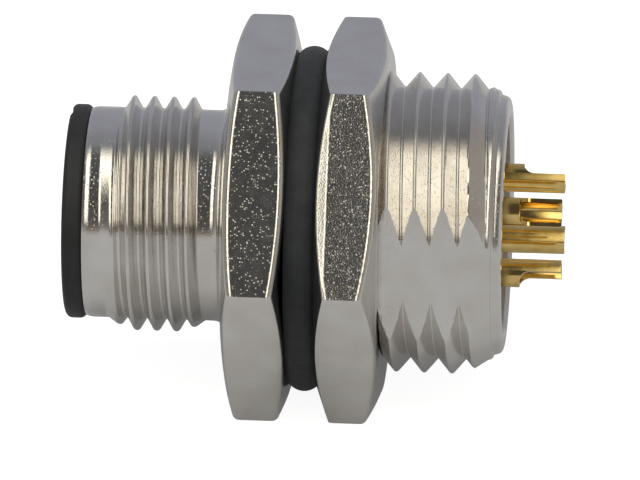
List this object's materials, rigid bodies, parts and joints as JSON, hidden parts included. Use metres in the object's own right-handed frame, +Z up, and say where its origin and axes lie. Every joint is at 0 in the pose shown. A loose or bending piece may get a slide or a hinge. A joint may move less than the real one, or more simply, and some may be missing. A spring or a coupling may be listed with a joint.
{
  "type": "m12 connector",
  "caption": "Panel-mount male circular connector: threaded coded plug end, hexagon flange, sealing ring, lock nut on a flatted rear thread, solder cups behind.",
  "frame": {"origin": "on the connector's axis, in the rear face of the hexagon flange, where the panel seal bears", "axes": "+X along the connector from the mating end to the solder cups, +Z up out of a hexagon flat, +Y across two hexagon corners"},
  "size_m": [0.025, 0.0208, 0.018],
  "materials": {
    "nickel_plated_brass": "bright nickel plating, finely grained",
    "black_insert_plastic": "moulded, satin",
    "black_rubber": "matt with a slight sheen",
    "gold_plated_contact": "gold plating, turned",
    "black_sealing_resin": "cast resin, glossy"
  },
  "bodies": {
    "connector": {"shell": "nickel_plated_brass", "contact_carrier": "black_insert_plastic", "carrier_seal": "black_rubber", "contact_1": "gold_plated_contact", "contact_2": "gold_plated_contact", "contact_3": "gold_plated_contact", "contact_4": "gold_plated_contact", "contact_retainer": "black_insert_plastic", "sealing_resin": "black_sealing_resin", "panel_seal": "black_rubber"},
    "lock_nut": {"lock_nut": "nickel_plated_brass"}
  },
  "joints": [
    {"name": "nut_travel", "type": "slide", "parent": "connector", "child": "lock_nut", "axis": [1, 0, 0], "range_m": [0, 0.01269]}
  ]
}
